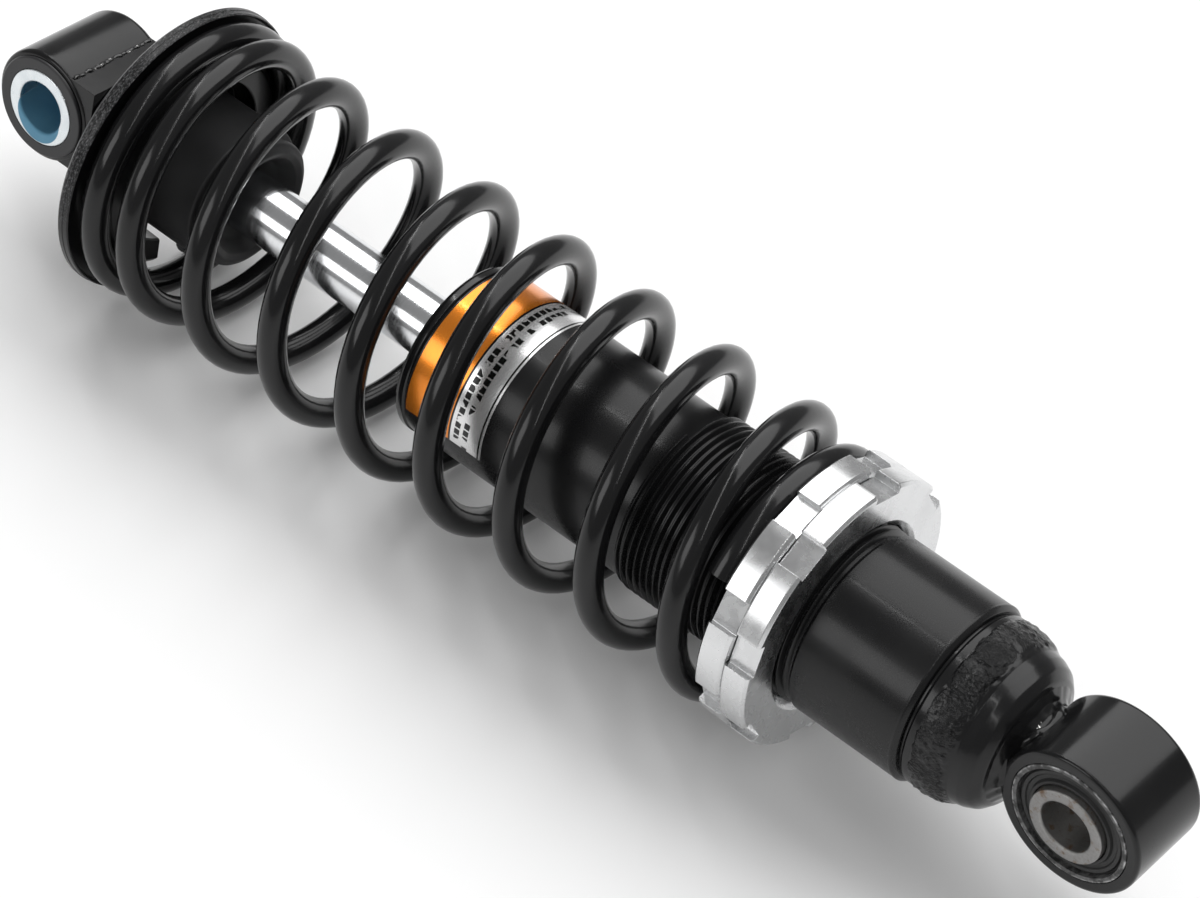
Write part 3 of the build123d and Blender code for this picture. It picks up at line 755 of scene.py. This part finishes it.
class SHOCK_OT_body_end(bpy.types.Operator):
    """Domed end, body eye with its welds, bush and sleeve"""
    bl_idname = "shock.body_end"
    bl_label = "Body end"

    def execute(self, context):
        d0, d1 = span("tube_end_cap")
        joint = span("damper_tube")[1]
        lower = context.scene.shock_sizes.lower_radius / MM
        shoulder = ((3.2, 0.9), (5.0, 0.85), (7.0, 1.0), (7.9, 1.2), (9.2, 1.55), (10.2, 1.95),
                    (11.0, 2.35))
        weld = []
        for i in range(27):
            x = 3.2 + 0.3 * i
            for (a, drop_a), (b, drop_b) in zip(shoulder, shoulder[1:]):
                if a <= x <= b + 0.01:
                    weld.append((joint + x, lower - drop_a - (drop_b - drop_a) * (x - a) / (b - a)))
                    break
        dome = turn_about_x("dome", [
            (d0, 15.0, 0.0), (d0, 17.9, 0.0), (joint, 17.9, 0.0), (joint, lower - 1.5, 0.2),
            (joint + 0.8, lower - 1.5, 0.4), (joint + 1.3, lower - 0.95, 0.4),
            (joint + 2.9, lower - 1.0, 0.1)] +
            [(x, r, 0.0) for x, r in weld] + [
            (weld[-1][0] + 0.5, lower - 2.75, 0.4), (d1 - 4.6, 17.9, 2.0), (d1 - 2.4, 16.9, 2.0),
            (d1 - 0.7, 15.0, 2.0), (d1 + 0.1, 12.4, 1.5), (d1, 10.0, 0.5), (d1, 0.0), (d1 - 7.0, 0.0),
            (d1 - 9.0, 11.0, 2.0), (d1 - 14.0, 15.0, 2.0)], 0.3, 240)

        def on_weld(p):
            return 1.0 if weld[0][0] < p.x < weld[-1][0] and math.hypot(p.y, p.z) > 17 else 0.0

        roughen(dome, 0.3, 1.1, on_weld)
        settle(dome, "damper_body", FINISHES["dome_black"], "satin_black_cast", "tube_end_cap")

        half = span("body_eye", 1)[1]
        outer = outer_radius("body_eye")
        shell_r = outer_radius("eye_bush_shell")
        ring = turn_about_y("eye_ring", [
            (-half, shell_r, 0.4), (-half, outer, 1.1), (half, outer, 1.1), (half, shell_r, 0.4)],
            0.0, 0.0, 0.4, 168)
        neck = turn_about_x("neck", [
            (d1 - 1.8, 0.0), (d1 - 1.8, 14.6, 0.0), (d1 - 0.4, 14.0, 0.8), (d1 + 0.9, 11.9, 1.8),
            (d1 + 2.4, 10.6, 1.5), (-14.4, 10.2, 0.5), (-14.4, 0.0)], 0.4, 128)
        for vertex in neck.data.vertices:
            vertex.co.y *= 1.0 - 0.12 * min(max((vertex.co.x / MM - d1) / 3, 0), 1)
        roughen(neck, 0.25, 2.4, lambda p: 1.0 if math.hypot(p.y, p.z) > 8 else 0.0, 5.0)
        body = join("body_eye_ring", [ring, neck])
        settle(body, "damper_body", FINISHES["eye_black"], "satin_black_cast", "body_eye")

        saddle = []
        for i in range(120):
            t = 2 * math.pi * i / 120
            y, z = 9.0 * math.cos(t), 10.4 * math.sin(t)
            saddle.append((-math.sqrt(outer ** 2 - z ** 2) - 0.1, y, z))
        bead = wire("eye_weld", saddle, 1.0, closed=True, sides=6, caps=False)
        roughen(bead, 0.8, 3.0, None, 3.7)
        roughen(bead, 0.25, 1.0, None, 8.1)
        smooth(bead, 70)
        settle(bead, "damper_body", FINISHES["eye_black"], "satin_black_cast")

        spatter = []
        for i in range(90):
            angle = math.radians(98 + 62 * i / 89)
            sway = noise.noise(Vector((i * 0.13, 2.0, 0.0))) * 2.6
            ripple = noise.noise(Vector((i * 0.7, 5.0, 0.0))) * 0.5
            x = d1 + 1.9 + (sway + ripple)
            r = 10.5 + max(0.0, (d1 + 2.4 - x)) ** 2 * 0.32
            spatter.append((x, r * math.cos(angle) * 0.93, r * math.sin(angle)))
        line = wire("weld_spatter", spatter, 0.2, sides=2)
        roughen(line, 0.3, 0.5, None, 1.0)
        smooth(line, 60)
        settle(line, "damper_body", FINISHES["weld_bright"], "satin_black_cast")

        shell_wall = outer_radius("eye_rubber")
        shell = turn_about_y("bush_shell", [
            (-half, shell_wall, 0.15), (-half - 0.05, shell_r - 0.05, 0.25),
            (half + 0.05, shell_r - 0.05, 0.25), (half, shell_wall, 0.15)], 0.0, 0.0, 0.2, 144)
        settle(shell, "damper_body", FINISHES["shell_edge"], "bush_steel", "eye_bush_shell")

        sleeve_r = outer_radius("body_eye_sleeve")
        rubber_half = span("eye_rubber", 1)[1]
        face = []
        for side in (-1, 1):
            steps = [(rubber_half - 0.3, sleeve_r + 0.05), (rubber_half + 0.5, sleeve_r + 0.3),
                     (rubber_half + 0.5, sleeve_r + 1.0), (rubber_half - 0.4, sleeve_r + 1.3),
                     (rubber_half - 0.5, sleeve_r + 2.2), (rubber_half, sleeve_r + 2.5),
                     (rubber_half, shell_wall - 0.8), (rubber_half - 0.6, shell_wall - 0.5),
                     (rubber_half - 0.6, shell_wall)]
            points = [(side * y, r, 0.25) for y, r in steps]
            face += points if side < 0 else points[::-1]
        rubber = turn_about_y("bush_rubber", face, 0.0, 0.0, 0.25, 128)
        settle(rubber, "damper_body", FINISHES["bush_rubber"], "bush_rubber", "eye_rubber")

        end = span("body_eye_sleeve", 1)[1]
        sleeve = turn_about_y("body_sleeve_tube", [
            (-end, BOLT_R, 0.7), (-end, sleeve_r, 0.45), (end, sleeve_r, 0.45), (end, BOLT_R, 0.7)],
            0.0, 0.0, 0.4, 128)
        settle(sleeve, "body_sleeve", FINISHES["sleeve_steel"], "sleeve_steel", "body_eye_sleeve")
        return {"FINISHED"}


class SHOCK_OT_spring(bpy.types.Operator):
    """Coil spring with closed ends"""
    bl_idname = "shock.spring"
    bl_label = "Spring"

    def execute(self, context):
        sizes = context.scene.shock_sizes
        low, high = span("main_spring")
        seat = low + sizes.wire_radius / MM
        plate = high - sizes.wire_radius / MM
        pitch = sizes.coil_pitch / MM
        turns = (plate - seat) / pitch + sum(SEAT_RAMP) / 2 + sum(NUT_RAMP) / 2

        def opened(t, ramp):
            """How far along X the wire has gone t turns from a tip whose pitch opens over ramp."""
            rate = pitch / (ramp[1] - ramp[0])
            first = max(ramp[0], 0.0)
            lead = rate * (first - ramp[0]) ** 2 / 2
            if t <= first:
                return 0.0
            if t >= ramp[1]:
                return rate * (ramp[1] - ramp[0]) ** 2 / 2 - lead + pitch * (t - ramp[1])
            return rate * (t - ramp[0]) ** 2 / 2 - lead

        half = turns / 2
        slack = (plate - seat) - opened(half, SEAT_RAMP) - opened(half, NUT_RAMP)
        count = int(turns * 60)
        points = []
        for i in range(count + 1):
            t = turns * i / count
            if t <= half:
                x = seat + opened(t, SEAT_RAMP) + slack * t / turns
            else:
                x = plate - opened(turns - t, NUT_RAMP) - slack * (turns - t) / turns
            angle = sizes.tip_angle + 2 * math.pi * t
            share = (TUCK_TURNS[0] - (turns - t)) / (TUCK_TURNS[0] - TUCK_TURNS[1])
            share = min(max(share, 0.0), 1.0)
            radius = sizes.coil_radius / MM - NUT_TUCK * share * share * (3 - 2 * share)
            points.append((x, radius * math.cos(angle), radius * math.sin(angle)))
        coil = wire("coil_spring", points, sizes.wire_radius / MM, sides=10)
        bevel_edges(coil, 1.3, 5, 60)
        smooth(coil, 45)
        settle(coil, "spring", FINISHES["spring_black"], "coated_spring", "main_spring")
        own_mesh(coil)
        return {"FINISHED"}


class SHOCK_OT_rings(bpy.types.Operator):
    """The two castellated ring nuts"""
    bl_idname = "shock.rings"
    bl_label = "Ring nuts"

    def execute(self, context):
        sizes = context.scene.shock_sizes
        width, depth = sizes.notch_width / MM, sizes.notch_depth / MM
        bore = outer_radius("damper_tube") + 0.1
        for node, body, first, collar in (("adjuster_nut", "adjuster", 15.0, 0.9),
                                          ("lock_nut", "locking_ring", 27.0, 1.7)):
            x0, x1 = span(node)
            outer = outer_radius(node)
            ring = turn_about_x(node + "_ring", [
                (x0, bore + 0.8), (x0, outer - 0.5), (x0 + 0.5, outer), (x1 - 0.7, outer),
                (x1, outer - 0.7), (x1, bore + collar), (x1 - collar, bore), (x0 + 0.8, bore)],
                0.0, 192)
            tools = []
            for i in range(sizes.notches):
                tool = block("notch", (x0 - 1, outer - depth, -width / 2),
                             (x1 + 1, outer + 3, width / 2))
                angle = math.radians(first + 360 / sizes.notches * i)
                tool.data.transform(Matrix.Rotation(angle, 4, "X"))
                tools.append(tool)
            cut(ring, tools)
            bevel_edges(ring, 0.1, 2, 28)
            smooth(ring, 30)
            settle(ring, body, FINISHES["ring_aluminium"], "nut_aluminium", node)
        return {"FINISHED"}


class SHOCK_OT_retainer(bpy.types.Operator):
    """Slotted spring retainer"""
    bl_idname = "shock.retainer"
    bl_label = "Spring retainer"

    def execute(self, context):
        sizes = context.scene.shock_sizes
        x0, x1 = span("spring_retainer")
        seat = x1 - 5.0
        hub = sizes.coil_radius / MM - sizes.wire_radius / MM - 0.6
        rim = outer_radius("spring_retainer")
        disc = turn_about_x("retainer_disc", [
            (x0, 7.5, 0.2), (x0, rim - 0.8, 0.5), (x0 + 0.8, rim, 0.3), (seat - 0.5, rim, 0.2),
            (seat - 0.4, rim - 0.15, 0.1), (seat + 0.7, rim - 0.2, 0.2), (seat + 1.0, rim - 0.45, 0.1),
            (seat + 0.8, rim - 0.8, 0.2), (seat, rim - 0.9, 0.3), (seat, hub, 0.4),
            (x1 - 1.2, hub, 0.5), (x1, hub - 1.4, 0.6),
            (x1, hub - 6.5, 0.6), (seat - 1.0, hub - 6.8, 0.5), (seat - 1.0, 7.5, 0.2)], 0.3, 180)
        slot = block("slot", (x0 - 2, 0, -SLOT_HALF), (x1 + 2, 40, SLOT_HALF))
        slot.data.transform(Matrix.Rotation(math.radians(SLOT_TURN), 4, "X"))
        cut(disc, [slot])
        bevel_edges(disc, 0.3, 2, 50)
        smooth(disc, 30)
        settle(disc, "retainer", FINISHES["retainer_black"], "retainer_black", "spring_retainer")
        return {"FINISHED"}


class SHOCK_OT_rod_end(bpy.types.Operator):
    """Rod eye with its bushes and sleeve, the coupling nut, the rod and the bump stop"""
    bl_idname = "shock.rod_end"
    bl_label = "Rod end"

    def execute(self, context):
        turn = math.degrees(context.scene.shock_sizes.rod_turn)
        tilt = Matrix.Rotation(context.scene.shock_sizes.rod_turn, 4, "X")
        eye_x, half, bore = ROD_EYE_X, ROD_EYE_HALF, ROD_EYE_BORE
        eye_r = eye_x - span("rod_eye")[0]
        tube = turn_about_y("rod_eye_tube", [
            (-half, bore, 0.2), (-half, eye_r, 1.2), (half, eye_r, 1.2), (half, bore, 0.2)],
            eye_x, turn, 0.3, 152)
        stem = block("stem", (eye_x + 1.0, -half + 0.35, -11.5),
                     (eye_x + eye_r + 0.6, half - 0.35, 11.5))
        hole = turn_about_y("hole", [
            (-20, 0.0), (-20, bore + 0.4, 0), (20, bore + 0.4, 0), (20, 0.0)], eye_x, 0, 0, 64)
        cut(stem, [hole])
        bevel_edges(stem, 1.3, 3, 40)
        smooth(stem, 40)
        stem.data.transform(tilt)
        eye = join("rod_eye_body", [tube, stem])
        settle(eye, "rod_assembly", FINISHES["eye_black"], "satin_black_cast", "rod_eye")

        seams = []
        for side in (-1, 1):
            points = []
            for i in range(60):
                y = -half + 0.8 + (2 * half - 1.6) * i / 59
                points.append((eye_x + 6.9, y, side * 11.35))
            seam = wire("seam", points, 0.55, sides=3)
            roughen(seam, 0.5, 1.3, None, 2.0)
            smooth(seam, 60)
            seam.data.transform(tilt)
            seams.append(seam)
        seams = join("rod_eye_welds", seams)
        settle(seams, "rod_assembly", FINISHES["weld_black"], "satin_black_cast")

        sleeve_r = ROD_SLEEVE_R
        bushes = []
        for side in (-1, 1):
            section = [(half - 11.0, sleeve_r + 0.05), (half + 0.75, sleeve_r + 0.05, 0.25),
                       (half + 0.8, 11.9, 0.55), (half + 0.02, 12.1, 0.2),
                       (half + 0.02, bore, 0.1), (half - 11.0, bore)]
            section = [(side * p[0],) + tuple(p[1:]) for p in section]
            bushes.append(turn_about_y("bush", section, eye_x, turn, 0.2, 120))
        bushes = join("rod_eye_bush_pair", bushes)
        settle(bushes, "rod_assembly", FINISHES["bush_plastic"], "bush_plastic", "rod_eye_bushes")

        end = half + 0.9
        sleeve = turn_about_y("rod_sleeve_tube", [
            (-end, BOLT_R, 0.75), (-end, sleeve_r, 0.4), (end, sleeve_r, 0.4), (end, BOLT_R, 0.75)],
            eye_x, turn, 0.4, 128)
        settle(sleeve, "rod_sleeve", FINISHES["zinc_plate"], "zinc_sleeve", "rod_eye_sleeve")

        n0, n1 = span("rod_end_nut")
        nut = turn_about_x("coupling", [
            (n0, 7.0, 0.3), (n0, 13.2, 0.2), (n0 + 1.1, 15.5, 0.2), (n1 - 1.1, 15.5, 0.2),
            (n1, 13.2, 0.2), (n1, 7.0, 0.3)], 0.2, 96)
        for i in range(6):
            flat = block("flat", (n0 - 1, 13.5, -20), (n1 + 1, 22, 20))
            flat.data.transform(Matrix.Rotation(math.radians(60 * i), 4, "X"))
            cut(nut, [flat])
        bevel_edges(nut, 0.15, 2, 25)
        smooth(nut, 30)
        settle(nut, "rod_assembly", FINISHES["dark_steel"], "phosphated_steel", "rod_end_nut")

        r0, r1 = span("piston_rod")
        rod_r = outer_radius("piston_rod")
        shoulder = span("backing_washer")[0]
        rod = turn_about_x("rod", [
            (r0, 0.0), (r0, rod_r, 0.3), (shoulder, rod_r, 0.3), (shoulder, 5.0, 0.0),
            (r1 - 0.8, 5.0, 0.0), (r1, 4.2, 0.0), (r1, 0.0)], 0.2, 128)
        settle(rod, "rod_assembly", FINISHES["rod_chrome"], "chromed_rod", "piston_rod")

        b0, b1 = span("bump_stop")
        bump_r = outer_radius("bump_stop")
        step = -236.6
        stop = turn_about_x("bump_cushion", [
            (b0, rod_r + 0.02, 0.0), (b0, bump_r, 0.8), (step, bump_r, 0.7),
            (step + 0.1, bump_r - 1.7, 0.4), (step + 0.9, bump_r - 2.2, 0.6),
            (step + 2.4, bump_r - 1.2, 1.5), (b1 - 1.2, bump_r - 1.3, 1.4),
            (b1, bump_r - 3.0, 0.9), (b1 - 0.7, bump_r - 4.6, 0.8), (step + 1.2, rod_r + 2.8, 3.0),
            (step - 1.0, rod_r + 0.02, 0.0)], 0.4, 144)
        settle(stop, "rod_assembly", FINISHES["bump_black"], "bump_rubber", "bump_stop")
        return {"FINISHED"}


class SHOCK_OT_stage(bpy.types.Operator):
    """Pale floor, soft lights and the camera"""
    bl_idname = "shock.stage"
    bl_label = "Stage"

    def execute(self, context):
        start_clean()
        bpy.ops.mesh.primitive_plane_add(size=6, location=(-0.15, 0, FLOOR_Z))
        floor = bpy.context.object
        floor.name = "floor"
        f = Finish("pale_floor", Roughness=0.6, Specular_IOR_Level=0.2)
        tone = tuple(context.scene.shock_look.floor)
        f.colour(f.mix(f.noise(300, 2), tone, tuple(c * 0.99 for c in tone)))
        floor.data.materials.append(f.material)

        world = bpy.data.worlds.new("soft_room")
        world.use_nodes = True
        world.node_tree.nodes["Background"].inputs["Color"].default_value = (1, 1, 1, 1)
        world.node_tree.nodes["Background"].inputs["Strength"].default_value = 0.28
        context.scene.world = world

        target = Vector((-0.14, 0, 0))
        for name, place, size, power in (
                ("back_box", (-0.14, 0.50, 0.85), (1.7, 0.9), 12),
                ("front_box", (-0.5, -0.95, 0.55), (0.7, 0.5), 3.0),
                ("top_strip", (-0.2, -0.10, 0.9), (3.0, 0.02), 3.2)):
            start_clean()
            bpy.ops.object.light_add(type="AREA", location=place)
            lamp = bpy.context.object
            lamp.name = name
            lamp.data.shape = "RECTANGLE"
            lamp.data.size, lamp.data.size_y = size
            lamp.data.energy = power
            lamp.rotation_euler = (target - Vector(place)).to_track_quat("-Z", "Y").to_euler()

        start_clean()
        bpy.ops.object.camera_add()
        camera = bpy.context.object
        forward = Vector((-0.40456821, 0.5377502, -0.73969541))
        right = Vector((0.74998914, 0.6579339, 0.06811225))
        up = Vector((-0.52329806, 0.52720747, 0.66948594))
        turn = Matrix((right, up, -forward)).transposed().to_4x4()
        camera.matrix_world = Matrix.Translation(Vector((308.436, -586.399, 805.492)) * MM) @ turn
        camera.data.sensor_width = 36
        camera.data.lens = 156.163
        camera.data.clip_end = 20
        context.scene.camera = camera
        context.scene.view_settings.view_transform = "Standard"
        return {"FINISHED"}


STEPS = (SHOCK_OT_finishes, SHOCK_OT_tube, SHOCK_OT_body_end, SHOCK_OT_spring, SHOCK_OT_rings,
         SHOCK_OT_retainer, SHOCK_OT_rod_end, SHOCK_OT_stage)


class SHOCK_PT_panel(bpy.types.Panel):
    """Lists the steps that build the shock"""
    bl_idname = "SHOCK_PT_panel"
    bl_label = "Rear Shock"
    bl_space_type = "VIEW_3D"
    bl_region_type = "UI"
    bl_category = "Shock"

    def draw(self, context):
        for step in STEPS:
            self.layout.operator(step.bl_idname)
        for group in (context.scene.shock_sizes, context.scene.shock_look):
            for key in group.bl_rna.properties.keys():
                if key not in ("rna_type", "name"):
                    self.layout.prop(group, key)


CLASSES = (ShockSizes, ShockLook, *STEPS, SHOCK_PT_panel)


def register():
    for each in CLASSES:
        bpy.utils.register_class(each)
    bpy.types.Scene.shock_sizes = bpy.props.PointerProperty(type=ShockSizes)
    bpy.types.Scene.shock_look = bpy.props.PointerProperty(type=ShockLook)


def unregister():
    del bpy.types.Scene.shock_look
    del bpy.types.Scene.shock_sizes
    for each in reversed(CLASSES):
        bpy.utils.unregister_class(each)


def main():
    register()
    for step in STEPS:
        group, name = step.bl_idname.split(".")
        getattr(getattr(bpy.ops, group), name)()
    start_clean()


if __name__ == "__main__":
    main()
